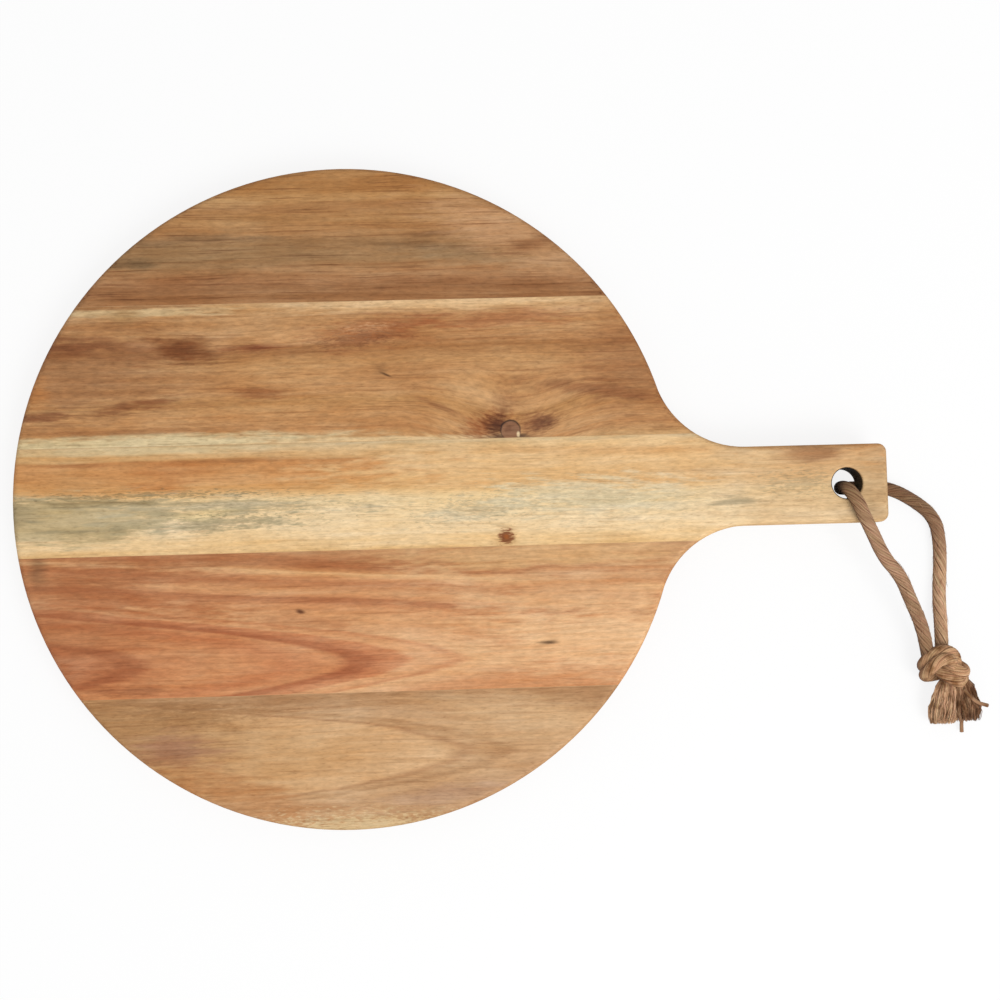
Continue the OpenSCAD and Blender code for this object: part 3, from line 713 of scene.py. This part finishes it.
stray_yarns = [
    [(0.0532, -0.096, 0.011), (0.0562, -0.0995, 0.0112), (0.0602, -0.1024, 0.0094),
     (0.0655, -0.1042, 0.0072)],
    [(0.054, -0.101, 0.0062), (0.0546, -0.108, 0.004), (0.0545, -0.1125, 0.0028), (0.0547, -0.1166, 0.002)]]
for points in stray_yarns:
    stray = [hole_foot + Vector(p) for p in points]
    tassel_yarns.append(loose_yarn(stray, stray_d, stray_tone, stray_blunt, stray_sides, stray_step))
rope_tassel = make_piece("jute_rope_tassel", tassel_yarns)

# Fuzz: ends of single fibres that stand out of the twisted rope all along it, except where the hole and the
# board keep them down. A fibre is drawn 0.15 mm thick, about twice its real size, so that it shows.
hair_d = 0.00015
hairs_along = 320
hair_points, hair_stride, hair_span = 4, 4, 14
hair_rise = (0.0002, 0.0009)
hair_root = 0.0002
hair_wobble = 0.0001
hair_drift = (-0.5, 0.2)
hair_tones = (0.5, 1)
hair_blunt = 0.4
hair_sides = 3
hole_run = (0.05, 0.145)
rope_ways = list(headings(rope_line))
hairs = []
for _ in range(hairs_along):
    first = loose.randrange(len(rope_line) - hair_span)
    angle = loose.uniform(0, 2 * math.pi)
    rise = loose.uniform(*hair_rise)
    hair = []
    for step in range(hair_points):
        middle = rope_line[first + hair_stride * step]
        run, across, beside = rope_ways[first + hair_stride * step]
        lifted = rise * (step / (hair_points - 1)) ** 2
        out = rope_r - hair_root + lifted + loose.uniform(0, hair_wobble)
        hair.append(middle + out * (math.cos(angle) * across + math.sin(angle) * beside))
        angle += loose.uniform(*hair_drift)
    if run < hole_run[0] or run > hole_run[1]:
        hairs.append(loose_yarn(hair, hair_d, loose.uniform(*hair_tones), hair_blunt, hair_sides))
rope_fuzz = make_piece("jute_rope_fuzz", hairs)

for piece in (rope_loop, rope_knot, rope_tassel, rope_fuzz):
    piece.data.materials.append(jute)
    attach(piece, "rope")
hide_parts("rope_loop")
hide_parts("rope_knot")
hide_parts("rope_tassel")

# Floor and light: a wide pale floor under soft studio light. A broad lamp stands to the right and in front,
# and a white room fills the rest.
floor_size = 8
glow_share = 0.85


def seen_rays(tree):
    """1 for what the camera sees, straight, mirrored or through something, and 0 for light that spreads."""
    seen = add(tree, "ShaderNodeLightPath", give="Is Camera Ray")
    mirrored = add(tree, "ShaderNodeMath", {0: seen, 1: seen.node.outputs["Is Glossy Ray"]}, operation="ADD")
    return add(tree, "ShaderNodeMath", {0: mirrored, 1: seen.node.outputs["Is Transmission Ray"]},
               operation="ADD", use_clamp=True)


bpy.ops.object.select_all(action="DESELECT")
bpy.ops.mesh.primitive_plane_add(size=floor_size, location=(0, 0, 0))
floor = bpy.context.object
floor.name = "floor"
white_floor = bpy.data.materials.new("white_studio_floor")
white_floor.use_nodes = True
tree = white_floor.node_tree
tree.nodes.clear()
shown = seen_rays(tree)
share = add(tree, "ShaderNodeMath", {0: shown, 1: glow_share}, operation="MULTIPLY")
lit = add(tree, "ShaderNodeBsdfDiffuse", {"Color": "#FAFAFA"})
glow = add(tree, "ShaderNodeEmission", {"Color": "#FFFFFF", "Strength": 1})
surface = add(tree, "ShaderNodeMixShader", {"Fac": share, 1: lit, 2: glow})
add(tree, "ShaderNodeOutputMaterial", {"Surface": surface})
floor.data.materials.append(white_floor)

room_strength = 0.62
world = bpy.data.worlds.new("white_room")
bpy.context.scene.world = world
world.use_nodes = True
tree = world.node_tree
tree.nodes.clear()
shown = seen_rays(tree)
strength = add(tree, "ShaderNodeMapRange", {"Value": shown, "To Min": room_strength, "To Max": 1})
room = add(tree, "ShaderNodeBackground", {"Color": "#FFFFFF", "Strength": strength})
add(tree, "ShaderNodeOutputWorld", {"Surface": room})

lamp_place = Vector((0.7, -0.75, 1.25))
lamp_size = 0.9
lamp_power = 14
bpy.ops.object.light_add(type="AREA", location=lamp_place)
lamp = bpy.context.object
lamp.data.size = lamp_size
lamp.data.energy = lamp_power
lamp.rotation_euler = (lamp_place - camera_target).to_track_quat("Z", "Y").to_euler()

bpy.context.scene.view_settings.view_transform = "Standard"
